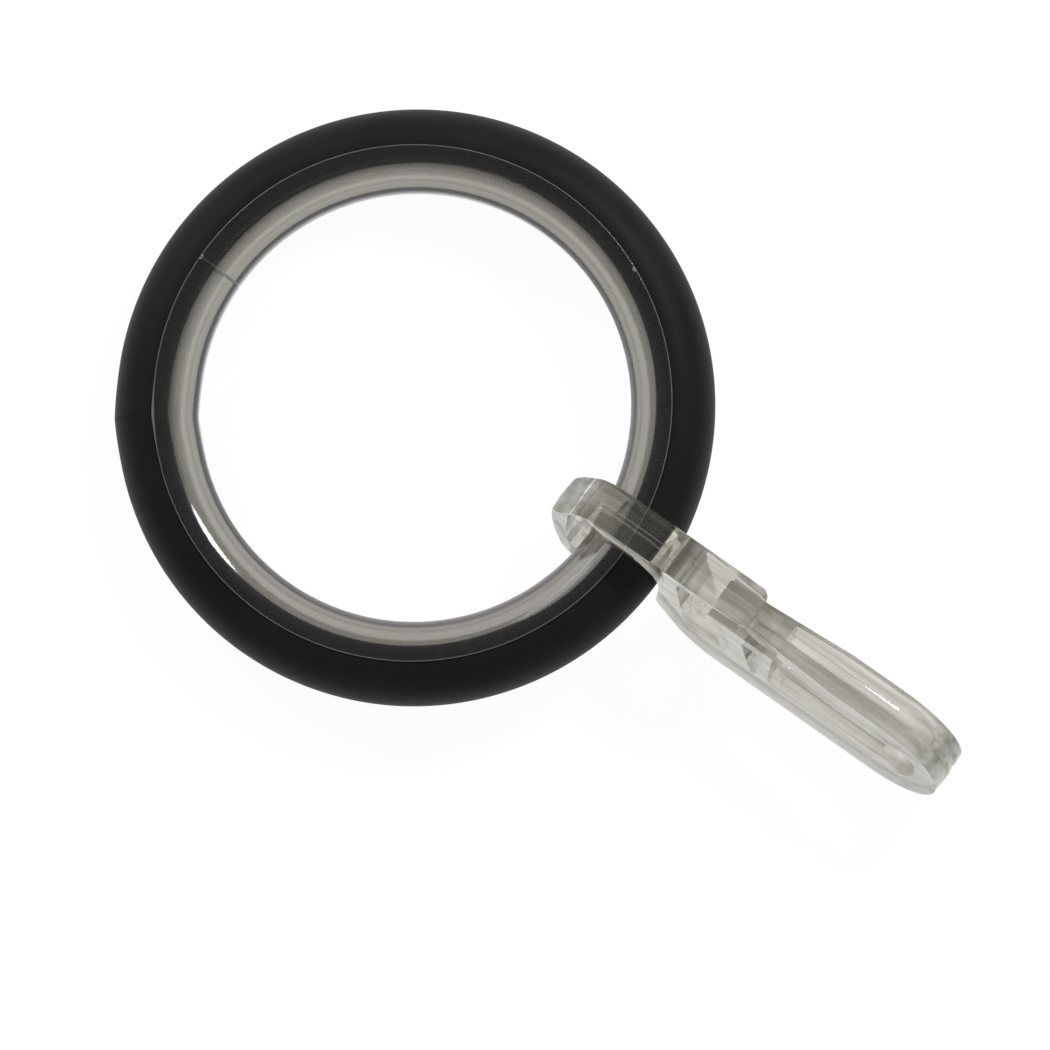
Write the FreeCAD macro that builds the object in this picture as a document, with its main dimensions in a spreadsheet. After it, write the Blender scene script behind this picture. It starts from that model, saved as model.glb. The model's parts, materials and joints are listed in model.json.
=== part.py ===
import FreeCAD, Part
import os
import re
import Sketcher
from math import asin, atan2, cos, degrees, hypot, radians, sin, tan
from FreeCAD import Placement, Rotation, Vector

# Curtain ring with a clip hook, lying on a table as it comes to rest.
# Millimetres. The origin is the centre of the ring, +Z is up, and the clip points along +X.
# The ring is a rolled metal channel, open towards its centre, with a clear liner snapped
# into the opening. The clear clip hangs on the ring by its eye and turns about the round
# section of the ring.

# Driving dimensions: name, value and what it is.
dimensions = [
    ("bore_diameter", 28.8, "hole for the curtain rod, at the liner's land"),
    ("land_length", 1.2, "straight stretch of the bore along the ring's axis"),
    ("tube_diameter", 5.5, "round section of the rolled metal ring"),
    ("tube_wall", 0.55, "metal thickness"),
    ("tube_wrap", 222, "degrees of its round that the metal section covers"),
    ("seam_gap", 0.08, "butt joint where the rolled ring closes"),
    ("seam_turn", 35.2, "degrees from the side opposite the clip to the butt joint"),
    ("liner_lip", 0.15, "liner thickness outside the metal"),
    ("liner_leg", 0.5, "liner thickness inside the metal"),
    ("liner_wrap", 181, "degrees of the round that the liner covers"),
    ("liner_fit", 0.05, "clearance between the liner and the metal"),
    ("liner_split", 0.25, "gap between the two ends of the liner"),
    ("split_turn", -1.8, "degrees from the side opposite the clip to that gap"),
    ("clip_width", 3.0, "thickness of the moulded clip"),
    ("clip_depth", 11.4, "from the top of the clip to its bottom rail"),
    ("clip_lean", 11, "degrees that the clip leans over on the ring"),
    ("clip_yaw", 3.3, "degrees that the clip points to one side, seen from above"),
    ("band_thickness", 1.8, "top band over the eye"),
    ("hook_thickness", 1.7, "lower arm of the eye"),
    ("nose_thickness", 1.65, "nose of the eye, inside the bore"),
    ("nose_room", 1.5, "space between the bore of the ring and the nose"),
    ("nose_height", 0.6, "height of the nose's point above the middle of the eye"),
    ("nose_slope", 2.75, "distance that the nose slopes back up to the top"),
    ("heel_slope", 1.8, "distance that the nose slopes back down to the heel"),
    ("nose_round", 2.5, "round between the nose and the top"),
    ("point_round", 2.0, "round at the point of the nose"),
    ("heel_round", 1.5, "round at the heel"),
    ("eye_round", 1.4, "rounds inside the eye at the nose"),
    ("neck_round", 1.0, "round inside the eye at the body"),
    ("eye_play", 0.2, "clearance of the ring in the eye, above and below"),
    ("wall_room", 0.4, "space between the outside of the ring and the eye"),
    ("mouth_width", 3.0, "opening between the hook's tip and the body"),
    ("block_length", 6.7, "from the eye to the end of the latch lip"),
    ("latch_lip", 0.8, "thickness of the lip over the leg's tip"),
    ("latch_play", 0.1, "clearance of the leg's tip under the lip and on the shelf"),
    ("latch_overlap", 2.75, "length of the leg's tip under the lip"),
    ("latch_wall", 1.1, "wall between the eye and the window, at the top"),
    ("foot_wall", 2.5, "wall between the eye and the window, at the bottom"),
    ("foot_drop", 0.2, "drop of the window's far corner below the rail's top"),
    ("window_round", 0.7, "round at the window's top corner"),
    ("leg_thickness", 1.6, "springy front leg"),
    ("leg_tip_width", 1.7, "width of the front leg at its tip"),
    ("leg_taper_length", 9.5, "length over which the leg widens"),
    ("leg_rib_width", 0.6, "rib along the middle of the front leg"),
    ("leg_rib_height", 0.35, "height of that rib"),
    ("shelf_thickness", 1.2, "shelf under the leg's tip"),
    ("shelf_reach", 2.4, "from the end of the lip to the tape loop"),
    ("strut_width", 2.3, "slanting strut under the shelf"),
    ("strut_slant", 1.9, "distance that the strut leans over its height"),
    ("strut_flare", 0.4, "widening of the strut at the shelf and narrowing at the rail"),
    ("end_wall", 0.9, "wall between the strut window and the tape loop"),
    ("loop_length", 11.7, "inside length of the tape loop"),
    ("loop_height", 6.0, "inside height of the tape loop"),
    ("loop_end", 1.8, "thickness of the far end of the loop"),
    ("rail_groove_width", 0.75, "each of the two grooves in the bottom rail"),
    ("rail_groove_depth", 0.9, "depth of those grooves"),
    ("rail_web", 0.6, "web between the two grooves"),
    ("chin_length", 3.1, "length of the slope under the body of the clip"),
    ("chin_height", 3.8, "height of that slope"),
    ("body_round", 4.0, "round between that slope and the bottom rail"),
    ("edge_round", 0.5, "small rounded corners of the clip"),
]

# Formulas worked out from the driving dimensions. X runs outwards along the clip and Z is
# its height, both from the middle of the ring's section.
tube_radius = "(tube_diameter / 2)"
liner_radius = f"({tube_radius} + liner_lip)"
land_offset = f"sqrt({liner_radius}^2 - (land_length / 2)^2)"
ring_radius = f"(bore_diameter / 2 + {land_offset})"
hollow_radius = f"({tube_radius} - tube_wall - liner_fit - liner_leg)"
seam_angle = f"(360 - seam_gap / {ring_radius} * 180 / pi)"
split_angle = f"(360 - liner_split / {ring_radius} * 180 / pi)"
slot_clearance = f"(liner_fit / {tube_radius} * 180 / pi)"
land_angle = f"(land_length / 2 / {liner_radius} * 180 / pi)"

lean = "(clip_lean * 1 deg)"
eye_half = f"({liner_radius} / cos({lean}) + clip_width / 2 * tan({lean}) + eye_play)"
top_face = f"({eye_half} + band_thickness)"
bottom_face = f"({top_face} - clip_depth)"
hook_face = f"(-{eye_half} - hook_thickness)"
nose_inside = f"(-{land_offset} - nose_room)"
nose_point = f"({nose_inside} - nose_thickness)"
eye_wall = f"({tube_radius} + wall_room)"
hook_tip = f"({eye_wall} - mouth_width)"
lip_end = f"({eye_wall} + block_length)"
lip_under = f"({top_face} - latch_lip)"
leg_top = f"({lip_under} - latch_play)"
leg_under = f"({leg_top} - leg_thickness)"
leg_tip = f"({lip_end} - latch_overlap)"
shelf_top = f"({leg_under} - latch_play)"
loop_start = f"({lip_end} + shelf_reach)"
loop_stop = f"({loop_start} + loop_length)"
far_end = f"({loop_stop} + loop_end)"
rail_top = f"({leg_under} - loop_height)"
end_round = f"(({leg_top} - {bottom_face}) * 0.475)"
strut_foot = f"({leg_tip} + strut_slant)"
rail_thin = f"({rail_top} - ({rail_top} - {bottom_face}) * 0.3)"


def make_sheet(document):
    sheet = document.addObject("Spreadsheet::Sheet", "Sizes")
    for row, (name, number, note) in enumerate(dimensions, start=1):
        sheet.set(f"A{row}", name)
        sheet.set(f"B{row}", str(number))
        sheet.set(f"C{row}", note)
        sheet.setAlias(f"B{row}", name)
    document.recompute()
    return sheet


names = {name for name, number, note in dimensions}


# A formula with each dimension's name turned into its cell.
def linked(formula):
    return re.sub(r"[a-z_]+", lambda word: "Sizes." + word[0] if word[0] in names else word[0], formula)


def value(formula):
    result = sheet.evalExpression(linked(formula))
    return float(getattr(result, "Value", result))


def new_body(label):
    body = doc.addObject("PartDesign::Body", label)
    body.Label = label
    return body


# A sketch on one of the body's own planes, shifted along the plane's normal if asked.
def new_sketch(body, name, plane="XZ_Plane", shift=None):
    sketch = body.newObject("Sketcher::SketchObject", name)
    origin = [item for item in body.Origin.OriginFeatures if item.Role == plane]
    sketch.AttachmentSupport = [(origin[0], "")]
    sketch.MapMode = "FlatFace"
    if shift:
        sketch.setExpression("AttachmentOffset.Base.z", linked(shift))
    return sketch


def bound(sketch, kind, elements, formula):
    number, unit = value(formula), ""
    if kind == "Angle":
        number, unit = radians(number), " * 1 deg"
    index = sketch.addConstraint(Sketcher.Constraint(kind, *elements, number))
    sketch.setExpression(f"Constraints[{index}]", linked(formula) + unit)


def fixed_point(sketch, geometry, end, across, up):
    bound(sketch, "DistanceX", (-1, 1, geometry, end), across)
    bound(sketch, "DistanceY", (-1, 1, geometry, end), up)


# One rounded corner between two lines: where it leaves each line, and its centre.
def rounding(before, corner, after, radius):
    back = (before - corner).normalize()
    ahead = (after - corner).normalize()
    half = back.getAngle(ahead) / 2
    reach = radius / tan(half)
    middle = (back + ahead).normalize()
    return corner + back * reach, corner + ahead * reach, corner + middle * (radius / sin(half))


# A closed outline of straight lines. Each corner is (across, up, radius or None), and a
# corner with a radius is rounded between its two lines.
def outline(sketch, corners):
    count = len(corners)
    points = [Vector(value(across), value(up), 0) for across, up, radius in corners]
    leave, arrive, arcs = [], [], []
    for i, (across, up, radius) in enumerate(corners):
        if radius is None:
            arrive.append(points[i])
            leave.append(points[i])
            arcs.append(None)
            continue
        start, stop, centre = rounding(points[i - 1], points[i], points[(i + 1) % count], value(radius))
        arrive.append(start)
        leave.append(stop)
        arcs.append(centre)
    lines = []
    for i in range(count):
        lines.append(sketch.addGeometry(Part.LineSegment(leave[i], arrive[(i + 1) % count])))
    for i, (across, up, radius) in enumerate(corners):
        before, after = lines[i - 1], lines[i]
        if radius is None:
            sketch.addConstraint(Sketcher.Constraint("Coincident", before, 2, after, 1))
            fixed_point(sketch, after, 1, across, up)
            continue
        add_round(sketch, before, after, arrive[i], leave[i], arcs[i], radius)
        corner = sketch.addGeometry(Part.Point(points[i]), True)
        fixed_point(sketch, corner, 1, across, up)
        sketch.addConstraint(Sketcher.Constraint("PointOnObject", corner, 1, before))
        sketch.addConstraint(Sketcher.Constraint("PointOnObject", corner, 1, after))


def add_round(sketch, before, after, start, stop, centre, radius):
    turn = (start - centre).cross(stop - centre).z
    first, last = (start, stop) if turn > 0 else (stop, start)
    angles = [atan2((point - centre).y, (point - centre).x) for point in (first, last)]
    circle = Part.Circle(centre, Vector(0, 0, 1), hypot(start.x - centre.x, start.y - centre.y))
    arc = sketch.addGeometry(Part.ArcOfCircle(circle, angles[0], angles[1]))
    ends = (1, 2) if turn > 0 else (2, 1)
    sketch.addConstraint(Sketcher.Constraint("Tangent", before, 2, arc, ends[0]))
    sketch.addConstraint(Sketcher.Constraint("Tangent", after, 1, arc, ends[1]))
    bound(sketch, "Radius", (arc,), radius)


def section_point(radius, angle):
    turn = radians(value(angle))
    return Vector(value(ring_radius) + value(radius) * cos(turn), value(radius) * sin(turn), 0)


# A closed section drawn around the middle of the ring's tube. Each corner is (radius, angle,
# edge to the next corner), with 0 degrees pointing outwards. An edge is an arc about the
# middle, a ray in line with it, or a flat parallel to the ring's axis.
def round_section(sketch, corners):
    centre = Vector(value(ring_radius), 0, 0)
    spot = sketch.addGeometry(Part.Point(centre), True)
    fixed_point(sketch, spot, 1, ring_radius, "0")
    edges = []
    for (radius, angle, kind), following in zip(corners, corners[1:] + corners[:1]):
        edges.append(section_edge(sketch, spot, centre, radius, angle, kind, following))
    for edge, following in zip(edges, edges[1:] + edges[:1]):
        sketch.addConstraint(Sketcher.Constraint("Coincident", edge[0], edge[2], following[0], following[1]))


# Adds one edge and gives its number and which of its ends come first and last.
def section_edge(sketch, spot, centre, radius, angle, kind, following):
    next_radius, next_angle = following[:2]
    start, stop = section_point(radius, angle), section_point(next_radius, next_angle)
    if kind == "arc":
        forwards = value(next_angle) > value(angle)
        turns = sorted((radians(value(angle)), radians(value(next_angle))))
        circle = Part.Circle(centre, Vector(0, 0, 1), value(radius))
        edge = sketch.addGeometry(Part.ArcOfCircle(circle, *turns))
        sketch.addConstraint(Sketcher.Constraint("Coincident", edge, 3, spot, 1))
        bound(sketch, "Radius", (edge,), radius)
        return (edge, 1, 2) if forwards else (edge, 2, 1)
    if kind == "ray":
        outwards = value(next_radius) > value(radius)
        ends = (start, stop) if outwards else (stop, start)
        edge = sketch.addGeometry(Part.LineSegment(*ends))
        sketch.addConstraint(Sketcher.Constraint("PointOnObject", spot, 1, edge))
        bound(sketch, "Angle", (edge,), angle)
        return (edge, 1, 2) if outwards else (edge, 2, 1)
    edge = sketch.addGeometry(Part.LineSegment(start, stop))
    sketch.addConstraint(Sketcher.Constraint("Vertical", edge))
    bound(sketch, "DistanceY", (edge, 2, edge, 1), "land_length")
    return edge, 1, 2


# A section turned about the ring's axis. What is left out of the turn lies opposite the clip.
def turned(body, name, sketch, angle):
    feature = body.newObject("PartDesign::Revolution", name)
    feature.Profile = sketch
    feature.ReferenceAxis = (sketch, ["V_Axis"])
    feature.Midplane = True
    feature.setExpression("Angle", linked(angle))


def padded(body, name, sketch, width):
    pad = body.newObject("PartDesign::Pad", name)
    pad.Profile = sketch
    pad.SideType = "Symmetric"
    pad.setExpression("Length", linked(width))


def cut_through(body, name, sketch, width):
    pocket = body.newObject("PartDesign::Pocket", name)
    pocket.Profile = sketch
    pocket.SideType = "Symmetric"
    pocket.setExpression("Length", linked(width))


def cut_one_way(body, name, sketch, depth, upwards):
    pocket = body.newObject("PartDesign::Pocket", name)
    pocket.Profile = sketch
    pocket.Reversed = upwards
    pocket.setExpression("Length", linked(depth))


# Rolled metal channel with its open side towards the rod, closed by a butt joint.
def make_ring_shell():
    body = new_body("ring_shell")
    section = new_sketch(body, "MetalSection")
    inside = f"({tube_radius} - tube_wall)"
    round_section(section, [
        (tube_radius, "-(tube_wrap / 2)", "arc"),
        (tube_radius, "(tube_wrap / 2)", "ray"),
        (inside, "(tube_wrap / 2)", "arc"),
        (inside, "-(tube_wrap / 2)", "ray"),
    ])
    turned(body, "RolledRing", section, seam_angle)
    return body


# Clear liner: a round base that runs on the rod, with lips outside the metal's edges and
# legs inside them, split once so that it can be sprung into the ring.
def make_ring_liner():
    body = new_body("ring_liner")
    section = new_sketch(body, "LinerSection")
    seat_outside = f"({tube_radius} + liner_fit)"
    seat_inside = f"({tube_radius} - tube_wall - liner_fit)"
    lip_one, lip_two = "(180 - liner_wrap / 2)", "(180 + liner_wrap / 2)"
    seat_one, seat_two = f"(tube_wrap / 2 + {slot_clearance})", f"(360 - tube_wrap / 2 - {slot_clearance})"
    land_one, land_two = f"(180 - {land_angle})", f"(180 + {land_angle})"
    round_section(section, [
        (liner_radius, lip_one, "arc"),
        (liner_radius, land_one, "flat"),
        (liner_radius, land_two, "arc"),
        (liner_radius, lip_two, "ray"),
        (seat_outside, lip_two, "arc"),
        (seat_outside, seat_two, "ray"),
        (seat_inside, seat_two, "arc"),
        (seat_inside, lip_two, "ray"),
        (hollow_radius, lip_two, "arc"),
        (hollow_radius, lip_one, "ray"),
        (seat_inside, lip_one, "arc"),
        (seat_inside, seat_one, "ray"),
        (seat_outside, seat_one, "arc"),
        (seat_outside, lip_one, "ray"),
    ])
    turned(body, "LinerChannel", section, split_angle)
    return body


# Side view of the clip: the hooked eye, the latch block, the loop and the bottom rail.
def clip_outline(body):
    side = new_sketch(body, "SideOutline")
    outline(side, [
        (f"({nose_point} + nose_slope)", top_face, "nose_round"),
        (lip_end, top_face, "latch_lip"),
        (lip_end, leg_top, None),
        (far_end, leg_top, end_round),
        (far_end, bottom_face, end_round),
        (f"({eye_wall} + chin_length)", bottom_face, "body_round"),
        (eye_wall, f"({bottom_face} + chin_height)", "edge_round"),
        (eye_wall, eye_half, "neck_round"),
        (nose_inside, eye_half, "eye_round"),
        (nose_inside, f"-{eye_half}", "eye_round"),
        (hook_tip, f"-{eye_half}", "edge_round"),
        (hook_tip, hook_face, "edge_round"),
        (f"({nose_point} + heel_slope)", hook_face, "heel_round"),
        (nose_point, "nose_height", "point_round"),
    ])
    padded(body, "ClipPlate", side, "clip_width")


# Window behind the latch, joined to the thin gap that frees the leg's tip from the lip
# above it and the shelf below it.
def latch_window(body):
    window = new_sketch(body, "LatchWindow")
    outline(window, [
        (f"({eye_wall} + latch_wall)", lip_under, "window_round"),
        (f"({lip_end} + latch_play)", lip_under, None),
        (f"({lip_end} + latch_play)", leg_top, None),
        (leg_tip, leg_top, None),
        (leg_tip, leg_under, None),
        (f"({loop_start} + latch_play)", leg_under, None),
        (f"({loop_start} + latch_play)", shelf_top, None),
        (f"({leg_tip} - latch_play)", shelf_top, None),
        (strut_foot, rail_thin, "edge_round"),
        (f"({eye_wall} + foot_wall)", f"({rail_top} - foot_drop)", "edge_round"),
    ])
    cut_through(body, "LatchGap", window, "clip_width")


# Three-cornered window between the strut, the shelf and the end wall of the loop.
def strut_window(body):
    window = new_sketch(body, "StrutWindow")
    roof = f"({shelf_top} - shelf_thickness)"
    outline(window, [
        (f"({leg_tip} + strut_width + strut_flare)", roof, "edge_round / 2"),
        (f"({loop_start} - end_wall)", roof, "edge_round / 2"),
        (f"({loop_start} - end_wall)", rail_top, "edge_round / 2"),
        (f"({strut_foot} + strut_width - strut_flare)", rail_top, "edge_round / 2"),
    ])
    cut_through(body, "StrutGap", window, "clip_width")


# Long loop that the curtain tape's pocket goes on to.
def tape_loop(body):
    window = new_sketch(body, "LoopWindow")
    outline(window, [
        (loop_start, leg_under, None),
        (loop_stop, leg_under, "loop_height * 0.42"),
        (loop_stop, rail_top, "loop_height * 0.42"),
        (loop_start, rail_top, "edge_round"),
    ])
    cut_through(body, "TapeLoop", window, "clip_width")


# The leg narrows towards its tip on both sides.
def leg_taper(body):
    taper_end = f"({leg_tip} + leg_taper_length)"
    before = f"({leg_tip} - latch_play)"
    for name, sign in (("LeftTaper", ""), ("RightTaper", "-")):
        side = new_sketch(body, name, "XY_Plane", shift=f"({leg_under} - latch_play / 2)")
        outline(side, [
            (before, f"{sign}(leg_tip_width / 2)", None),
            (leg_tip, f"{sign}(leg_tip_width / 2)", None),
            (taper_end, f"{sign}(clip_width / 2)", None),
            (before, f"{sign}(clip_width / 2)", None),
        ])
        cut_one_way(body, name + "Cut", side, "leg_thickness + latch_play", True)


# A rib runs along the middle of the leg and round the far end.
def leg_rib(body):
    rib = new_sketch(body, "RibOutline")
    outer = f"({far_end} + leg_rib_height)"
    crown = f"({leg_top} + leg_rib_height)"
    outline(rib, [
        (f"({lip_end} + leg_rib_height)", f"({leg_top} - leg_rib_height)", None),
        (f"({lip_end} + leg_rib_height)", crown, "leg_rib_height / 2"),
        (outer, crown, f"({end_round} + leg_rib_height)"),
        (outer, f"({bottom_face} + {end_round})", None),
        (f"({far_end} - leg_rib_height)", f"({bottom_face} + {end_round})", None),
        (f"({far_end} - leg_rib_height)", f"({leg_top} - leg_rib_height)", f"{end_round}"),
    ])
    padded(body, "LegRib", rib, "leg_rib_width")


# Two long grooves in the bottom rail leave a web between them.
def rail_grooves(body):
    start = f"({loop_start} + edge_round)"
    stop = f"({loop_stop} - loop_height * 0.42)"
    for name, sign in (("LeftGroove", ""), ("RightGroove", "-")):
        floor = new_sketch(body, name, "XY_Plane", shift=rail_top)
        outline(floor, [
            (start, f"{sign}(rail_web / 2)", None),
            (stop, f"{sign}(rail_web / 2)", None),
            (stop, f"{sign}(rail_web / 2 + rail_groove_width)", None),
            (start, f"{sign}(rail_web / 2 + rail_groove_width)", None),
        ])
        cut_one_way(body, name + "Cut", floor, "rail_groove_depth", False)


# Clear moulded clip: an open hook on the ring, a latch and a long loop, all one piece.
def make_clip_hook():
    body = new_body("clip_hook")
    clip_outline(body)
    latch_window(body)
    strut_window(body)
    tape_loop(body)
    leg_taper(body)
    leg_rib(body)
    rail_grooves(body)
    return body


# How the parts lie. The clip stands on the heel of its hook and on the start of its bottom
# rail, both on one edge because it leans, and it holds up its side of the ring.
def flat_start(body, face):
    height = value(face)
    return min(corner.X for corner in body.Shape.Vertexes if abs(corner.Z - height) < 1e-6)


def clip_pitch():
    heel, foot = flat_start(clip, hook_face), flat_start(clip, bottom_face)
    return atan2(value(hook_face) - value(bottom_face), foot - heel)


def ring_tilt():
    under_clip = -value(hook_face) * cos(pitch) - flat_start(clip, hook_face) * sin(pitch)
    side = radians(value("clip_lean"))
    height = under_clip * cos(side) + value("clip_width") / 2 * sin(side)
    return asin((height - value(liner_radius)) / (2 * value(ring_radius)))


def placed_ring(turn_angle):
    tilt_turn = Rotation(Vector(0, 1, 0), -degrees(tilt))
    return Placement(Vector(), tilt_turn * Rotation(Vector(0, 0, 1), turn_angle))


def placed_clip(centre):
    yaw_turn = Rotation(Vector(0, 0, 1), -value("clip_yaw"))
    lean_turn = Rotation(Vector(1, 0, 0), -value("clip_lean"))
    pitch_turn = Rotation(Vector(0, 1, 0), -degrees(pitch))
    return Placement(centre, yaw_turn * lean_turn * pitch_turn)


def check(objects):
    for item in objects:
        if "Invalid" in item.State or "Error" in item.State:
            raise RuntimeError(f"{item.Name} is {item.State}")


def export(body):
    shape = body.Shape
    if shape.isNull() or not shape.isValid():
        raise RuntimeError(f"{body.Label} has no valid shape")
    if len(shape.Solids) != 1:
        raise RuntimeError(f"{body.Label} has {len(shape.Solids)} solids")
    shape.exportStep(f"parts/{body.Label}.step")
    box = shape.BoundBox
    print(f"{body.Label}: {shape.Volume:.2f} mm3, {box.XLength:.2f} x {box.YLength:.2f} x {box.ZLength:.2f}")


doc = FreeCAD.newDocument("CurtainRing")
sheet = make_sheet(doc)
shell = make_ring_shell()
liner = make_ring_liner()
clip = make_clip_hook()
doc.recompute()
pitch = clip_pitch()
tilt = ring_tilt()
shell.Placement = placed_ring(value("seam_turn"))
liner.Placement = placed_ring(value("split_turn"))
section_centre = placed_ring(0).Rotation.multVec(Vector(value(ring_radius), 0, 0))
clip.Placement = placed_clip(section_centre)
doc.recompute()
check(doc.Objects)

os.makedirs("parts", exist_ok=True)
for body in (shell, liner, clip):
    export(body)
print(f"ring tilt {degrees(tilt):.3f}, clip pitch {degrees(pitch):.3f}")
print(f"ring radius {value(ring_radius):.4f}, section radius {value(liner_radius):.3f}")
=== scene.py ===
import bmesh
import bpy
import json
from math import asin, cos, degrees, pi, radians, sin, tan
from mathutils import Matrix, Vector


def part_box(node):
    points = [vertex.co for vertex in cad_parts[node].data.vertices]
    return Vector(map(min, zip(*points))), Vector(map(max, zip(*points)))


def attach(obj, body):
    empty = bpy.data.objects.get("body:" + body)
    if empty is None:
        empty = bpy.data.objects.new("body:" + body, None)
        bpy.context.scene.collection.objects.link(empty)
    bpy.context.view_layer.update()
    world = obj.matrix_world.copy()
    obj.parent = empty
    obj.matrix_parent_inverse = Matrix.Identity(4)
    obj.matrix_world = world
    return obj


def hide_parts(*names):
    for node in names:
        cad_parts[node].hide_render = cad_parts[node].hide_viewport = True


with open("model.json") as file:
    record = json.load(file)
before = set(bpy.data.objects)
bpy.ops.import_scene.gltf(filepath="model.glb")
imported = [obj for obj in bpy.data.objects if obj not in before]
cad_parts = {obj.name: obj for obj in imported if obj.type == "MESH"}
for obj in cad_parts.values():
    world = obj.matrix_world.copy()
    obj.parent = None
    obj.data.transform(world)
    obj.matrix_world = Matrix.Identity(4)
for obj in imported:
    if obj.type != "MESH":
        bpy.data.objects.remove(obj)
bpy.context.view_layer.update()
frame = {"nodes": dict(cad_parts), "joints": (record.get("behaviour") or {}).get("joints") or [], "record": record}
mm = 0.001
touch = 0.01 * mm  # places this close together count as one
print("frame loaded:", sorted(frame["nodes"]))


# Where the ring and the table lie, from the frame's own mounts and joint.
mounts = {mount["name"]: mount for mount in frame["record"]["mounts"]}
boreAxis = Vector(mounts["rod_bore"]["axis"])
sectionCentre = Vector(frame["joints"][0]["pos_m"])
ringRadius = sectionCentre.length
ringTilt = asin(-boreAxis.x)
ringPlace = Matrix.Rotation(-ringTilt, 4, "Y")
tableHeight = min(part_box(node)[0].z for node in frame["nodes"])


# Small helpers shared by the pieces.
def finishPiece(name, bm, material, body, node):
    bmesh.ops.recalc_face_normals(bm, faces=bm.faces)
    mesh = bpy.data.meshes.new(name)
    bm.to_mesh(mesh)
    bm.free()
    piece = bpy.data.objects.new(name, mesh)
    bpy.context.scene.collection.objects.link(piece)
    piece.data.materials.append(material)
    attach(piece, body)
    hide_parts(node)
    print(name, "made with", len(mesh.vertices), "vertices")
    return piece


def softenEdges(piece, sizes):
    piece.data.shade_smooth()
    bevel = piece.modifiers.new("SoftEdges", "BEVEL")
    bevel.width = sizes["edgeRound"]
    bevel.segments = sizes["edgeSegments"]
    bevel.limit_method = "ANGLE"
    bevel.angle_limit = radians(sizes["edgeAngle"])
    bevel.use_clamp_overlap = True
    bevel.harden_normals = True


# Adds a shader node. Each input takes a fixed value or another node's output.
def addNode(tree, kind, inputs, **settings):
    node = tree.nodes.new("ShaderNode" + kind)
    for setting, choice in settings.items():
        setattr(node, setting, choice)
    for name, value in inputs.items():
        if isinstance(value, bpy.types.NodeSocket):
            tree.links.new(value, node.inputs[name])
        else:
            node.inputs[name].default_value = value
    return node


def maths(tree, operation, first, second=0.0):
    return addNode(tree, "Math", {0: first, 1: second}, operation=operation).outputs[0]


# Runs from one level to the other while the value goes through its reach.
def spread(tree, value, reach, levels, clamp=True):
    ends = {"From Min": reach[0], "From Max": reach[1], "To Min": levels[0], "To Max": levels[1]}
    return addNode(tree, "MapRange", {"Value": value, **ends}, clamp=clamp).outputs["Result"]


def objectPlace(tree):
    return addNode(tree, "TexCoord", {}).outputs["Object"]


def noiseAt(tree, place, scale, detail, roughness=0.5):
    inputs = {"Vector": place, "Scale": scale, "Detail": detail, "Roughness": roughness}
    return addNode(tree, "TexNoise", inputs).outputs["Fac"]


def blend(tree, share, reach, dark, light):
    ramp = addNode(tree, "ValToRGB", {"Fac": share})
    for stop, place, colour in zip(ramp.color_ramp.elements, reach, (dark, light)):
        stop.position = place
        stop.color = (*colour, 1)
    return ramp.outputs["Color"]


def newMaterial(name):
    material = bpy.data.materials.new(name)
    material.use_nodes = True
    return material, material.node_tree, material.node_tree.nodes["Principled BSDF"]


def bumpBy(tree, shader, height, strength, distance):
    bump = addNode(tree, "Bump", {"Height": height, "Strength": strength, "Distance": distance})
    tree.links.new(bump.outputs["Normal"], shader.inputs["Normal"])


# Clear plastic with faint streaks and ripples, which follow the place that is given.
def clearPlastic(name, look, grain):
    material, tree, shader = newMaterial(name)
    place = grain(tree)
    streaks = noiseAt(tree, place, look["streakScale"], 3)
    colour = blend(tree, streaks, look["streakReach"], look["dark"], look["light"])
    tree.links.new(colour, shader.inputs["Base Color"])
    shader.inputs["Roughness"].default_value = look["roughness"]
    shader.inputs["IOR"].default_value = look["ior"]
    ripples = noiseAt(tree, place, look["rippleScale"], 2)
    bumpBy(tree, shader, ripples, look["rippleStrength"], look["rippleDepth"])
    depth = tree.nodes.new("ShaderNodeVolumeAbsorption")
    depth.inputs["Color"].default_value = (*look["depthColour"], 1)
    depth.inputs["Density"].default_value = look["depthDensity"]
    tree.links.new(depth.outputs["Volume"], tree.nodes["Material Output"].inputs["Volume"])
    return material


# Makes the plastic as dull as the frosted level where the mask is 1.
def frostBy(tree, mask, clear, frosted):
    clearness = spread(tree, mask, (0, 1), (clear, frosted), clamp=False)
    tree.links.new(clearness, tree.nodes["Principled BSDF"].inputs["Transmission Weight"])


# Metal ring
ring = {
    "tubeRadius": 2.75 * mm,
    "wall": 0.55 * mm,
    "halfWrap": 111,  # degrees each way that the metal goes round its section
    "seamGap": 0.006 * mm,
    "seamTurn": 215.2,
    "kinkReach": 9,  # degrees each way from the seam
    "kinkHeight": 0.12 * mm,
    "kinkFade": 1.5,
    "turnSteps": 288,
    "sectionSteps": 40,
    "edgeRound": 0.015 * mm,
    "edgeSegments": 2,
    "edgeAngle": 50,
    "dark": (0.0070, 0.0095, 0.0074),
    "light": (0.0108, 0.0136, 0.0110),
    "patchScale": 140,
    "patchReach": (0.35, 0.65),
    "roughness": (0.46, 0.58),
    "specular": 0.17,
    "grainScale": 2600,
    "grainStrength": 0.5,
    "grainDepth": 0.02 * mm,
}


# A chain of short edges round the middle of the ring's section. Angles are degrees from
# the outward direction.
def arcChain(bm, centreX, radius, start, stop, steps):
    turn = radians(start)
    first = bm.verts.new((centreX + radius * cos(turn), 0, radius * sin(turn)))
    chain = bmesh.ops.spin(bm, geom=[first], cent=(centreX, 0, 0), axis=(0, -1, 0),
                           angle=radians(stop - start), steps=steps)
    last = [item for item in chain["geom_last"] if isinstance(item, bmesh.types.BMVert)][0]
    return first, last


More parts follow.
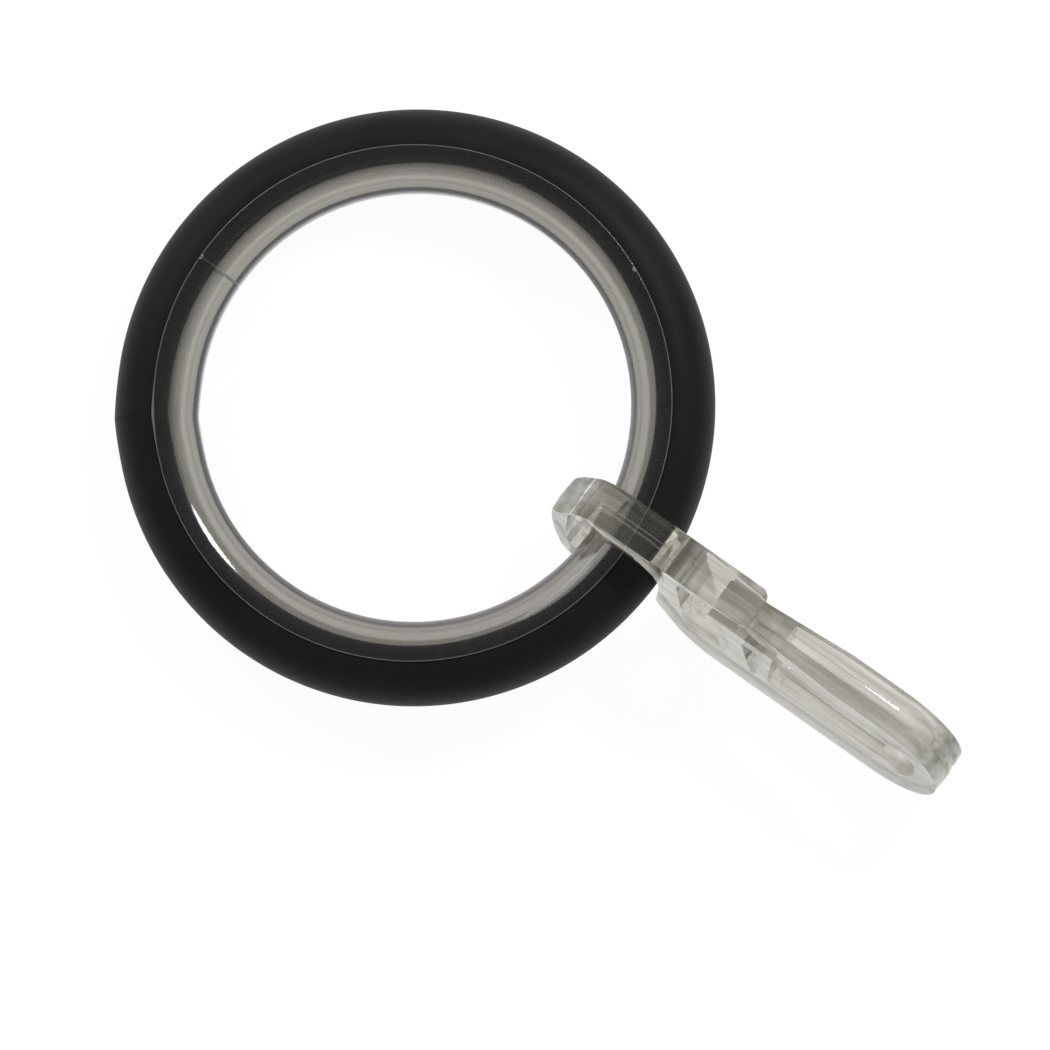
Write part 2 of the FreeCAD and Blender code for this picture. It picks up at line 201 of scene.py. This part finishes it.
def joinedProfile(bm, centreX, arcs):
    ends = [arcChain(bm, centreX, *arc) for arc in arcs]
    for (first, last), (nextFirst, nextLast) in zip(ends, ends[1:] + ends[:1]):
        bm.edges.new((last, nextFirst))


# The metal stands out a little where its ends meet, and the liner follows it.
def bendAtSeam(bm):
    seam = radians(ring["seamTurn"])
    seamWay = Vector((cos(seam), sin(seam)))
    for vert in bm.verts:
        way = Vector((vert.co.x, vert.co.y)).normalized()
        share = 1 - degrees(way.angle(seamWay)) / ring["kinkReach"]
        if share > 0:
            shift = way * ring["kinkHeight"] * share ** ring["kinkFade"]
            vert.co += Vector((shift.x, shift.y, 0))


# Turns a closed profile round the ring's axis, leaves a gap and closes both ends.
def turnedRing(bm, gapWidth, gapTurn):
    gap = gapWidth / ringRadius
    start = radians(gapTurn) + gap / 2
    bmesh.ops.rotate(bm, verts=bm.verts, cent=(0, 0, 0), matrix=Matrix.Rotation(start, 3, "Z"))
    bmesh.ops.spin(bm, geom=bm.verts[:] + bm.edges[:], cent=(0, 0, 0), axis=(0, 0, 1),
                   angle=2 * pi - gap, steps=ring["turnSteps"])
    openEdges = [edge for edge in bm.edges if edge.is_boundary]
    bmesh.ops.holes_fill(bm, edges=openEdges, sides=0)
    bendAtSeam(bm)
    bmesh.ops.transform(bm, verts=bm.verts, matrix=ringPlace)


def blackCoating():
    material, tree, shader = newMaterial("blackPowderCoat")
    place = objectPlace(tree)
    patches = noiseAt(tree, place, ring["patchScale"], 4)
    colour = blend(tree, patches, ring["patchReach"], ring["dark"], ring["light"])
    tree.links.new(colour, shader.inputs["Base Color"])
    rough = spread(tree, patches, (0, 1), ring["roughness"])
    tree.links.new(rough, shader.inputs["Roughness"])
    shader.inputs["Specular IOR Level"].default_value = ring["specular"]
    grain = noiseAt(tree, place, ring["grainScale"], 3, 0.6)
    bumpBy(tree, shader, grain, ring["grainStrength"], ring["grainDepth"])
    return material


def makeRingShell():
    bm = bmesh.new()
    wrap, steps = ring["halfWrap"], ring["sectionSteps"]
    joinedProfile(bm, ringRadius, [
        (ring["tubeRadius"], -wrap, wrap, steps),
        (ring["tubeRadius"] - ring["wall"], wrap, -wrap, steps),
    ])
    turnedRing(bm, ring["seamGap"], ring["seamTurn"])
    piece = finishPiece("blackRing", bm, blackCoating(), "ring", "ring_shell")
    softenEdges(piece, ring)


# Clear liner in the ring
liner = {
    "lip": 0.15 * mm,
    "leg": 0.5 * mm,
    "fit": 0.05 * mm,
    "halfWrap": 90.5,  # degrees each way that the lips go round the section
    "land": 1.2 * mm,  # straight part of the bore
    "split": 0.04 * mm,
    "splitTurn": 178.2,
    "lipSteps": 20,
    "seatSteps": 6,
    "hollowSteps": 32,
    "edgeRound": 0.035 * mm,
    "edgeSegments": 2,
    "edgeAngle": 45,
    "dark": (0.80, 0.79, 0.76),
    "light": (0.92, 0.91, 0.88),
    "roughness": 0.10,
    "ior": 1.49,
    "clear": 0.986,
    "frosted": 0.45,
    "grainStretch": 0.04,
    "streakScale": 900,
    "streakReach": (0.35, 0.62),
    "rippleScale": 700,
    "rippleStrength": 0.5,
    "rippleDepth": 0.006 * mm,
    "depthColour": (0.49, 0.475, 0.435),
    "depthDensity": 560,
    # Lip and split frost bands: partly rough cut edges, partly painted highlight. Spots: a painted glint at the
    # split's outer end, and a nick with a painted glint.
    "lipFrostAndHighlight": 0.06 * mm,
    "splitFrostAndHighlight": 0.04 * mm,
    "nickAndGlintTurns": (0, -114.3),  # degrees round the ring from the split
    "nickAndGlintSize": 0.15 * mm,
    "nickAndGlintFade": 1.5,
    "nickAndGlintFrost": 1.6,
    # Painted shade: the liner's colour darkens across this reach towards the metal.
    "paintedShadeReach": (15.5 * mm, 16.4 * mm),
    "paintedShadeLevel": 0.40,
}


# The place in the ring's own directions, turned to the liner's split, and the distance
# from the ring's axis.
def aroundRing(tree):
    turn = (0, ringTilt, -radians(liner["splitTurn"]))
    turned = addNode(tree, "Mapping", {"Vector": objectPlace(tree), "Rotation": turn})
    turned = turned.outputs["Vector"]
    flat = addNode(tree, "VectorMath", {0: turned, 1: (1, 1, 0)}, operation="MULTIPLY")
    reach = addNode(tree, "VectorMath", {0: flat.outputs["Vector"]}, operation="LENGTH")
    return turned, reach.outputs["Value"]


# The liner's grain runs round it.
def linerGrain(tree):
    turned, reach = aroundRing(tree)
    axes = addNode(tree, "SeparateXYZ", {"Vector": turned}).outputs
    slow = maths(tree, "MULTIPLY", axes["X"], liner["grainStretch"])
    joined = addNode(tree, "CombineXYZ", {"X": slow, "Y": reach, "Z": axes["Z"]})
    return joined.outputs["Vector"]


# The liner is frosted where its lip ends on the metal and along both sides of its split, partly a rough cut edge
# and partly painted highlight, and whitened at two small spots: a painted glint at the split's outer end and a
# nick with a painted glint.
def frostAndGlintLiner(tree, turned, reach):
    axes = addNode(tree, "SeparateXYZ", {"Vector": turned}).outputs
    lipEdge = spread(tree, reach, (ringRadius - liner["lipFrostAndHighlight"], ringRadius), (0, 1))
    sideways = maths(tree, "ABSOLUTE", axes["Y"])
    half = liner["split"] / 2
    splitEdge = spread(tree, sideways, (half + liner["splitFrostAndHighlight"], half), (0, 1))
    splitSide = maths(tree, "GREATER_THAN", axes["X"], 0)
    mask = maths(tree, "MAXIMUM", lipEdge, maths(tree, "MULTIPLY", splitEdge, splitSide))
    outside = ring["tubeRadius"] + liner["lip"]
    size = liner["nickAndGlintSize"]
    for turn in map(radians, liner["nickAndGlintTurns"]):
        spot = Vector((ringRadius * cos(turn), ringRadius * sin(turn), outside))
        away = addNode(tree, "VectorMath", {0: turned, 1: spot}, operation="DISTANCE")
        nick = spread(tree, away.outputs["Value"], (size * liner["nickAndGlintFade"], size),
                      (0, liner["nickAndGlintFrost"]))
        mask = maths(tree, "MAXIMUM", mask, nick)
    frostBy(tree, mask, liner["clear"], liner["frosted"])


# Painted shade: the liner's colour darkens from the bore towards the metal.
def paintShadeOnLiner(tree, reach):
    shade = spread(tree, reach, liner["paintedShadeReach"], (1, liner["paintedShadeLevel"]))
    colour = tree.nodes["Principled BSDF"].inputs["Base Color"]
    streaks = colour.links[0].from_socket
    shaded = addNode(tree, "VectorMath", {0: streaks, "Scale": shade}, operation="SCALE")
    tree.links.new(shaded.outputs["Vector"], colour)


def makeRingLiner():
    bm = bmesh.new()
    outside = ring["tubeRadius"] + liner["lip"]
    seatOutside = ring["tubeRadius"] + liner["fit"]
    seatInside = ring["tubeRadius"] - ring["wall"] - liner["fit"]
    hollow = seatInside - liner["leg"]
    lipOne, lipTwo = 180 - liner["halfWrap"], 180 + liner["halfWrap"]
    seatOne = ring["halfWrap"] + degrees(liner["fit"] / ring["tubeRadius"])
    seatTwo = 360 - seatOne
    landHalf = degrees(asin(liner["land"] / 2 / outside))
    joinedProfile(bm, ringRadius, [
        (outside, lipOne, 180 - landHalf, liner["lipSteps"]),
        (outside, 180 + landHalf, lipTwo, liner["lipSteps"]),
        (seatOutside, lipTwo, seatTwo, liner["seatSteps"]),
        (seatInside, seatTwo, lipTwo, liner["seatSteps"]),
        (hollow, lipTwo, lipOne, liner["hollowSteps"]),
        (seatInside, lipOne, seatOne, liner["seatSteps"]),
        (seatOutside, seatOne, lipOne, liner["seatSteps"]),
    ])
    turnedRing(bm, liner["split"], liner["splitTurn"])
    material = clearPlastic("clearLinerPlastic", liner, linerGrain)
    turned, reach = aroundRing(material.node_tree)
    # Painted highlight along the lip edge and the split, and painted glints at two spots.
    frostAndGlintLiner(material.node_tree, turned, reach)
    # Painted shade on the liner towards the metal.
    paintShadeOnLiner(material.node_tree, reach)
    piece = finishPiece("clearLiner", bm, material, "ring", "ring_liner")
    softenEdges(piece, liner)


# Clip hook. Across is the distance outwards from the middle of the ring's section, up is the
# height from there, both before the clip is pitched and leaned.
clip = {
    "lean": 11,
    "yaw": 3.3,
    "width": 3.0 * mm,
    "depth": 11.4 * mm,
    "eyeHalf": 3.4458 * mm,  # half of the eye's inside height
    "band": 1.8 * mm,
    "hook": 1.7 * mm,
    "noseInside": -4.3358 * mm,
    "nose": 1.65 * mm,
    "noseSlope": 2.75 * mm,
    "topRound": 2.5 * mm,
    "pointHeight": 0.6 * mm,
    "pointRound": 2.0 * mm,
    "heelSlope": 1.8 * mm,
    "heelRound": 1.5 * mm,
    "eyeWall": 3.15 * mm,
    "eyeBodyRound": 2.6 * mm,
    "eyeNoseRound": 0.6 * mm,
    "eyeHeelRound": 2.0 * mm,
    "mouth": 3.0 * mm,
    "block": 6.7 * mm,
    "lip": 0.8 * mm,
    "lipRoundShare": 0.8,
    "play": 0.1 * mm,
    "overlap": 2.75 * mm,
    "latchWall": 1.1 * mm,
    "windowRound": 0.7 * mm,
    "footWall": 2.5 * mm,
    "footDrop": 0.2 * mm,
    "leg": 1.6 * mm,
    "legTipWidth": 1.7 * mm,
    "legTaper": 9.5 * mm,
    "ribWidth": 0.6 * mm,
    "ribHeight": 0.14 * mm,
    "ribFade": 0.8,
    "ribTurn": 5 * mm,  # from the far end to where the rib starts to turn
    "ribStop": 4.7 * mm,  # height of the rib's end over the bottom
    "shelf": 1.2 * mm,
    "shelfReach": 2.4 * mm,
    "strut": 2.3 * mm,
    "strutSlant": 1.9 * mm,
    "strutFlare": 0.4 * mm,
    "strutSinkShare": 0.3,
    "endWall": 0.9 * mm,
    "loopLength": 11.7 * mm,
    "loopHeight": 6.0 * mm,
    "loopRoundShare": 0.42,
    "loopEnd": 1.8 * mm,
    "endRoundShare": 0.475,
    "grooveWidth": 0.75 * mm,
    "grooveDepth": 0.9 * mm,
    "grooveInset": 0.3,
    "web": 0.6 * mm,
    "chinLength": 3.1 * mm,
    "chinHeight": 3.8 * mm,
    "chinRound": 1.4 * mm,
    "bodyRound": 4.0 * mm,
    "smallRound": 0.5 * mm,
    "roundSteps": 5,  # for each millimetre of a round's radius
    "fewestSteps": 4,
    "noseEndRound": 1.0 * mm,  # seen from above, as the next one
    "lipEndRound": 0.6 * mm,
    "endCuts": (0.02, 0.1, 0.22, 0.38, 0.6, 1.0),
    "nick": (0.55 * mm, 0.95 * mm),
    "nickDepth": 0.35 * mm,
    "nickReach": 0.6 * mm,
    "nickFacing": 0.93,
    "draft": 0.07 * mm,
    "draftGap": (3 * mm, 0.05 * mm),  # left plain before the leg's tip and under the top
    "weld": 0.004 * mm,
    "edgeRound": 0.14 * mm,
    "edgeSegments": 3,
    "edgeAngle": 35,
    "dark": (0.56, 0.545, 0.49),
    "light": (0.93, 0.92, 0.87),
    "roughness": 0.11,
    "ior": 1.49,
    "clear": 0.985,
    "frosted": 0.70,
    "grainStretch": (0.05, 1, 0.6),
    "streakScale": 2000,
    "streakReach": (0.35, 0.62),
    "rippleScale": 1500,
    "rippleStrength": 0.5,
    "rippleDepth": 0.016 * mm,
    "depthColour": (0.515, 0.475, 0.375),
    "depthDensity": 90,
    "haze": 0.77,
    "clearReach": (2.9 * mm, 4.3 * mm),
    "farHaze": 0.80,
    "farReach": (19.5 * mm, 22.5 * mm),
    "partingHalf": 0.07 * mm,
}
clipAxis = Vector(mounts["tape_loop"]["axis"])
clipPitch = asin(clipAxis.z / cos(radians(clip["lean"])))
clipPlace = (
    Matrix.Translation(sectionCentre)
    @ Matrix.Rotation(-radians(clip["yaw"]), 4, "Z")
    @ Matrix.Rotation(-radians(clip["lean"]), 4, "X")
    @ Matrix.Rotation(-clipPitch, 4, "Y")
)


# Heights and reaches that follow from the clip's sizes.
def clipPlaces():
    c = clip
    top = c["eyeHalf"] + c["band"]
    lipUnder = top - c["lip"]
    legTop = lipUnder - c["play"]
    legUnder = legTop - c["leg"]
    bottom = top - c["depth"]
    lipEnd = c["eyeWall"] + c["block"]
    legTip = lipEnd - c["overlap"]
    loopStart = lipEnd + c["shelfReach"]
    loopStop = loopStart + c["loopLength"]
    return {
        "top": top, "bottom": bottom, "hookFace": -c["eyeHalf"] - c["hook"],
        "lipUnder": lipUnder, "legTop": legTop, "legUnder": legUnder,
        "shelfTop": legUnder - c["play"], "railTop": legUnder - c["loopHeight"],
        "nosePoint": c["noseInside"] - c["nose"], "hookTip": c["eyeWall"] - c["mouth"],
        "lipEnd": lipEnd, "legTip": legTip, "taperEnd": legTip + c["legTaper"],
        "loopStart": loopStart, "loopStop": loopStop, "farEnd": loopStop + c["loopEnd"],
        "loopRound": c["loopHeight"] * c["loopRoundShare"],
        "endRound": (legTop - bottom) * c["endRoundShare"],
    }


at = clipPlaces()


# Adds a closed loop of edges. Each corner is (across, up, radius), rounded if it has one.
def roundedLoop(bm, corners):
    verts = [bm.verts.new((across, 0, up)) for across, up, radius in corners]
    bm.faces.new(verts)
    spots = [vert.co.copy() for vert in verts]
    for i, (vert, (across, up, radius)) in enumerate(zip(verts, corners)):
        if radius:
            back = (spots[i - 1] - spots[i]).normalized()
            ahead = (spots[(i + 1) % len(spots)] - spots[i]).normalized()
            reach = radius / tan(back.angle(ahead) / 2)
            steps = max(clip["fewestSteps"], int(radius / mm * clip["roundSteps"]))
            bmesh.ops.bevel(bm, geom=[vert], offset=reach, offset_type="OFFSET",
                            affect="VERTICES", segments=steps, profile=0.5, material=-1,
                            clamp_overlap=False)


def sideFace(bm):
    c, small = clip, clip["smallRound"]
    strutFoot = at["legTip"] + c["strutSlant"]
    strutSink = at["railTop"] - (at["railTop"] - at["bottom"]) * c["strutSinkShare"]
    roundedLoop(bm, [
        (at["nosePoint"] + c["noseSlope"], at["top"], c["topRound"]),
        (at["lipEnd"], at["top"], c["lip"] * c["lipRoundShare"]),
        (at["lipEnd"], at["lipUnder"], 0),
        (c["eyeWall"] + c["latchWall"], at["lipUnder"], c["windowRound"]),
        (c["eyeWall"] + c["footWall"], at["railTop"] - c["footDrop"], small),
        (strutFoot, strutSink, small),
        (at["legTip"] - c["play"], at["shelfTop"], 0),
        (at["loopStart"], at["shelfTop"], 0),
        (at["loopStart"], at["railTop"], small),
        (at["loopStop"], at["railTop"], at["loopRound"]),
        (at["loopStop"], at["legUnder"], at["loopRound"]),
        (at["taperEnd"], at["legUnder"], 0),
        (at["legTip"], at["legUnder"], 0),
        (at["legTip"], at["legTop"], 0),
        (at["taperEnd"], at["legTop"], 0),
        (at["farEnd"], at["legTop"], at["endRound"]),
        (at["farEnd"], at["bottom"], at["endRound"]),
        (c["eyeWall"] + c["chinLength"], at["bottom"], c["bodyRound"]),
        (c["eyeWall"], at["bottom"] + c["chinHeight"], c["chinRound"]),
        (c["eyeWall"], c["eyeHalf"], c["eyeBodyRound"]),
        (c["noseInside"], c["eyeHalf"], c["eyeNoseRound"]),
        (c["noseInside"], -c["eyeHalf"], c["eyeHeelRound"]),
        (at["hookTip"], -c["eyeHalf"], small),
        (at["hookTip"], at["hookFace"], small),
        (at["nosePoint"] + c["heelSlope"], at["hookFace"], c["heelRound"]),
        (at["nosePoint"], c["pointHeight"], c["pointRound"]),
    ])
    roof = at["shelfTop"] - c["shelf"]
    wall = at["loopStart"] - c["endWall"]
    roundedLoop(bm, [
        (at["legTip"] + c["strut"] + c["strutFlare"], roof, small / 2),
        (wall, roof, small / 2),
        (wall, at["railTop"], small / 2),
        (strutFoot + c["strut"] - c["strutFlare"], at["railTop"], small / 2),
    ])
    bmesh.ops.delete(bm, geom=bm.faces[:], context="FACES_ONLY")
    bmesh.ops.triangle_fill(bm, edges=bm.edges[:], use_beauty=True, use_dissolve=False)


def faceMiddle(face):
    return face.calc_center_median()


# Cuts the picked faces along a plane across the clip.
def cutAcross(bm, faces, spot, normal):
    geometry = set(faces)
    for face in faces:
        geometry.update(face.edges)
        geometry.update(face.verts)
    bmesh.ops.bisect_plane(bm, geom=list(geometry), plane_co=spot, plane_no=normal, dist=1e-7)
    bm.normal_update()


# Raises or sinks the picked faces as one step with upright sides.
def stepFaces(bm, faces, shift):
    grown = bmesh.ops.extrude_face_region(bm, geom=faces)
    verts = [item for item in grown["geom"] if isinstance(item, bmesh.types.BMVert)]
    for vert, move in [(vert, shift(vert)) for vert in verts]:
        vert.co += move
    bmesh.ops.delete(bm, geom=faces, context="FACES")


def outerLegFaces(bm):
    def isOuter(face):
        spot = faceMiddle(face)
        if abs(face.normal.y) > 0.5 or spot.x < at["lipEnd"] + clip["ribHeight"]:
            return False
        beforeTurn = spot.x < at["farEnd"] - clip["ribTurn"]
        outward = face.normal.z > 0.5 if beforeTurn else face.normal.x > -0.1
        aboveMiddle = spot.z > at["bottom"] + clip["ribStop"]
        onOutside = spot.z > at["legTop"] - touch or spot.x > at["loopStop"]
        return outward and aboveMiddle and onOutside
    return [face for face in bm.faces if isOuter(face)]


def legTopFaces(bm):
    return [face for face in bm.faces
            if face.normal.z > 0.9 and abs(faceMiddle(face).z - at["legTop"]) < touch]


# The rib stands away from the leg, and fades round the far end.
def ribShift(vert):
    centreX = at["farEnd"] - at["endRound"]
    centreZ = at["legTop"] - at["endRound"]
    if vert.co.x < centreX:
        return Vector((0, 0, clip["ribHeight"]))
    away = Vector((vert.co.x - centreX, 0, max(vert.co.z - centreZ, 0))).normalized()
    return away * clip["ribHeight"] * (1 - clip["ribFade"] * away.x)


def addRib(bm):
    half = clip["ribWidth"] / 2
    start = (at["lipEnd"] + clip["ribHeight"], 0, 0)
    bm.normal_update()
    cutAcross(bm, outerLegFaces(bm) + legTopFaces(bm), start, (1, 0, 0))
    for side in (half, -half):
        cutAcross(bm, outerLegFaces(bm), (0, side, 0), (0, 1, 0))
    strip = [face for face in outerLegFaces(bm) if abs(faceMiddle(face).y) < half]
    stepFaces(bm, strip, ribShift)


def addRailGrooves(bm):
    inner = clip["web"] / 2
    outer = inner + clip["grooveWidth"]
    start = at["loopStart"] + clip["smallRound"]
    stop = at["loopStop"] - at["loopRound"]

    def floorFaces():
        bm.normal_update()
        return [face for face in bm.faces if face.normal.z > 0.9
                and abs(faceMiddle(face).z - at["railTop"]) < touch
                and faceMiddle(face).x > start - touch]

    for spot in (outer, inner, -inner, -outer):
        cutAcross(bm, floorFaces(), (0, spot, 0), (0, 1, 0))
    inset = clip["grooveDepth"] * clip["grooveInset"]
    for end in (start + inset, stop - inset):
        cutAcross(bm, floorFaces(), (end, 0, 0), (1, 0, 0))
    for side in (1, -1):
        strip = [face for face in floorFaces() if inner < side * faceMiddle(face).y < outer
                 and start + inset < faceMiddle(face).x < stop - inset]
        stepFaces(bm, strip, lambda vert: Vector((0, 0, -clip["grooveDepth"])))


def isLegVert(vert):
    onTop = abs(vert.co.z - at["legTop"]) < touch
    onUnder = abs(vert.co.z - at["legUnder"]) < touch
    return onTop or onUnder or vert.co.z > at["legTop"]


# The leg narrows towards its tip on both sides of the rib.
def narrowLeg(bm):
    for vert in bm.verts:
        onLeg = at["legUnder"] - touch < vert.co.z < at["legTop"] + clip["ribHeight"] + touch
        if onLeg and at["legTip"] - touch < vert.co.x < at["taperEnd"] and isLegVert(vert):
            share = (vert.co.x - at["legTip"]) / clip["legTaper"]
            width = clip["legTipWidth"] + (clip["width"] - clip["legTipWidth"]) * share
            if abs(vert.co.y) > clip["ribWidth"] / 2 + touch:
                vert.co.y *= width / clip["width"]


# Rounds an end of the clip as seen from above. Way is 1 for the far side of the lip and -1
# for the nose.
def roundEnd(bm, endX, way, radius, lowest):
    half = clip["width"] / 2
    for share in clip["endCuts"]:
        spot = (endX - way * radius * share, 0, 0)
        bmesh.ops.bisect_plane(bm, geom=bm.verts[:] + bm.edges[:] + bm.faces[:], plane_co=spot,
                               plane_no=(1, 0, 0), dist=1e-7)
    for vert in bm.verts:
        inset = way * (endX - vert.co.x)
        if inset < radius and vert.co.z > lowest and abs(vert.co.y) > half - radius:
            left = radius - max(inset, 0)
            reach = half - radius + (radius ** 2 - left ** 2) ** 0.5
            vert.co.y = max(-reach, min(reach, vert.co.y))


# A nick in the far end, left where the plastic flowed in.
def addNick(bm):
    def endFaces():
        bm.normal_update()
        return [face for face in bm.faces if face.normal.x > clip["nickFacing"]
                and faceMiddle(face).x > at["farEnd"] - clip["nickReach"]]

    low, high = clip["nick"]
    for spot in (low, high):
        cutAcross(bm, endFaces(), (0, spot, 0), (0, 1, 0))
    strip = [face for face in endFaces() if low < faceMiddle(face).y < high]
    stepFaces(bm, strip, lambda vert: Vector((-clip["nickDepth"], 0, 0)))


# The two halves of the mould meet at a low ridge along the middle of every wall, apart
# from the narrow gap round the leg's tip.
def addDraft(bm):
    gapReach, underTop = clip["draftGap"]

    def nearGap(spot):
        beside = at["legTip"] - gapReach < spot.x < at["loopStart"]
        return beside and at["shelfTop"] - touch < spot.z < at["top"] - underTop

    walls = [face for face in bm.faces if abs(face.normal.y) < 0.5]
    cutAcross(bm, walls, (0, 0, 0), (0, 1, 0))
    ridge = [vert for vert in bm.verts if abs(vert.co.y) < 1e-6 and not nearGap(vert.co)]
    for vert, move in [(vert, vert.normal * clip["draft"]) for vert in ridge]:
        vert.co += Vector((move.x, 0, move.z))


# Distance from the middle of the ring's section along one of the clip's own directions.
def alongClip(tree, way):
    direction = clipPlace.to_3x3() @ Vector(way)
    reach = addNode(tree, "VectorMath", {0: objectPlace(tree), 1: direction},
                    operation="DOT_PRODUCT")
    return maths(tree, "SUBTRACT", reach.outputs["Value"], direction.dot(sectionCentre))


# The clip's grain runs along it.
def clipGrain(tree):
    length, across, up = clip["grainStretch"]
    ways = {"X": (length, 0, 0), "Y": (0, across, 0), "Z": (0, 0, up)}
    places = {axis: alongClip(tree, way) for axis, way in ways.items()}
    return addNode(tree, "CombineXYZ", places).outputs["Vector"]


# A fine dull line where the two halves of the mould met, and a duller surface away from
# the eye.
def frostClip(tree):
    sideways = maths(tree, "ABSOLUTE", alongClip(tree, (0, 1, 0)))
    ridge = spread(tree, sideways, (clip["partingHalf"], 0), (0, 1))
    reach = maths(tree, "ABSOLUTE", alongClip(tree, (1, 0, 0)))
    body = spread(tree, reach, clip["clearReach"], (clip["clear"], clip["haze"]))
    far = spread(tree, reach, clip["farReach"], (1, clip["farHaze"]))
    frostBy(tree, ridge, maths(tree, "MULTIPLY", body, far), clip["frosted"])


def makeClipHook():
    bm = bmesh.new()
    sideFace(bm)
    half = clip["width"] / 2
    bmesh.ops.translate(bm, verts=bm.verts, vec=(0, -half, 0))
    grown = bmesh.ops.extrude_face_region(bm, geom=bm.faces[:])
    verts = [item for item in grown["geom"] if isinstance(item, bmesh.types.BMVert)]
    bmesh.ops.translate(bm, verts=verts, vec=(0, clip["width"], 0))
    bmesh.ops.recalc_face_normals(bm, faces=bm.faces)
    addRib(bm)
    addRailGrooves(bm)
    narrowLeg(bm)
    roundEnd(bm, at["nosePoint"], -1, clip["noseEndRound"], at["bottom"])
    roundEnd(bm, at["lipEnd"], 1, clip["lipEndRound"], at["lipUnder"] - touch)
    addNick(bm)
    addDraft(bm)
    bmesh.ops.remove_doubles(bm, verts=bm.verts, dist=clip["weld"])
    bmesh.ops.transform(bm, verts=bm.verts, matrix=clipPlace)
    material = clearPlastic("clearClipPlastic", clip, clipGrain)
    frostClip(material.node_tree)
    piece = finishPiece("clearClip", bm, material, "clip", "clip_hook")
    softenEdges(piece, clip)


makeRingShell()
makeRingLiner()
makeClipHook()


# Table and light
studio = {
    "floorSize": 1.2,
    "gap": 0.06 * mm,
    "floorColour": (0.86, 0.86, 0.85),
    "whiteShare": 0.86,
    "glow": 1.10,
    "overheadLevel": 0.14,
    "sideLevel": 0.52,
    "levelReach": (0.45, 0.95),
    "target": (0.01, 0, 0),
    "lamps": {
        "window": {"spot": (0.042, 0.396, 0.449), "size": 0.12, "power": 1.1},
        "farSide": {"spot": (-0.42, 0.10, 0.30), "size": 0.24, "power": 0.5},
    },
}


# Is 1 where something is seen straight or through the clear plastic.
def seenDirectly(tree):
    path = addNode(tree, "LightPath", {}).outputs
    seen = maths(tree, "MAXIMUM", path["Is Camera Ray"], path["Is Transmission Ray"])
    return path, seen


def tableMaterial():
    material = bpy.data.materials.new("whiteTable")
    material.use_nodes = True
    tree = material.node_tree
    tree.nodes.clear()
    path, seen = seenDirectly(tree)
    seen = maths(tree, "MAXIMUM", seen, path["Is Glossy Ray"])
    share = maths(tree, "MULTIPLY", seen, studio["whiteShare"])
    paper = addNode(tree, "BsdfDiffuse", {"Color": (*studio["floorColour"], 1)})
    glow = addNode(tree, "Emission", {"Color": (1, 1, 1, 1), "Strength": studio["glow"]})
    mix = addNode(tree, "MixShader", {0: share, 1: paper.outputs[0], 2: glow.outputs[0]})
    addNode(tree, "OutputMaterial", {"Surface": mix.outputs[0]})
    return material


def whiteTable():
    bm = bmesh.new()
    bmesh.ops.create_grid(bm, x_segments=1, y_segments=1, size=studio["floorSize"] / 2)
    bmesh.ops.translate(bm, verts=bm.verts, vec=(0, 0, tableHeight - studio["gap"]))
    mesh = bpy.data.meshes.new("whiteTable")
    bm.to_mesh(mesh)
    bm.free()
    table = bpy.data.objects.new("whiteTable", mesh)
    bpy.context.scene.collection.objects.link(table)
    mesh.materials.append(tableMaterial())


def softWorld():
    world = bpy.data.worlds.new("softStudio")
    world.use_nodes = True
    bpy.context.scene.world = world
    tree = world.node_tree
    path, seen = seenDirectly(tree)
    way = addNode(tree, "TexCoord", {}).outputs["Generated"]
    height = addNode(tree, "SeparateXYZ", {"Vector": way}).outputs["Z"]
    room = spread(tree, height, studio["levelReach"],
                  (studio["sideLevel"], studio["overheadLevel"]))
    background = tree.nodes["Background"].inputs
    background["Color"].default_value = (1, 1, 1, 1)
    tree.links.new(maths(tree, "MAXIMUM", room, seen), background["Strength"])


def addLamps():
    for name, settings in studio["lamps"].items():
        data = bpy.data.lights.new(name, "AREA")
        data.shape = "DISK"
        data.size = settings["size"]
        data.energy = settings["power"]
        lamp = bpy.data.objects.new(name, data)
        spot = Vector(settings["spot"])
        lamp.location = spot
        way = Vector(studio["target"]) - spot
        lamp.rotation_euler = way.to_track_quat("-Z", "Y").to_euler()
        lamp.visible_transmission = False
        bpy.context.scene.collection.objects.link(lamp)


# Camera, looking down at the table from nearly overhead
camera = {
    "across": 10.40 * mm,
    "along": -2.60 * mm,
    "leanX": 1.68,
    "leanY": -3.05,
    "turn": 33.09,
    "distance": 0.692,
    "width": 69.85 * mm,  # width of the picture at the object
    "sensor": 36,
    "clipStart": 0.01,
}


def photoCamera():
    data = bpy.data.cameras.new("photoCamera")
    data.sensor_width = camera["sensor"]
    data.sensor_fit = "HORIZONTAL"
    data.lens = camera["sensor"] * camera["distance"] / camera["width"]
    data.clip_start = camera["clipStart"]
    eye = bpy.data.objects.new("photoCamera", data)
    bpy.context.scene.collection.objects.link(eye)
    target = Vector((camera["across"], camera["along"], 0))
    leanX, leanY, turn = [radians(camera[name]) for name in ("leanX", "leanY", "turn")]
    away = Vector((sin(leanX), sin(leanY), 1)).normalized()
    up = Vector((-sin(turn), cos(turn), 0))
    right = up.cross(away).normalized()
    up = away.cross(right)
    place = Matrix((right, up, away)).transposed().to_4x4()
    place.translation = target + away * camera["distance"]
    eye.matrix_world = place
    bpy.context.scene.camera = eye


whiteTable()
softWorld()
addLamps()
photoCamera()
bpy.context.scene.view_settings.view_transform = "Standard"
print("table, light and camera set")
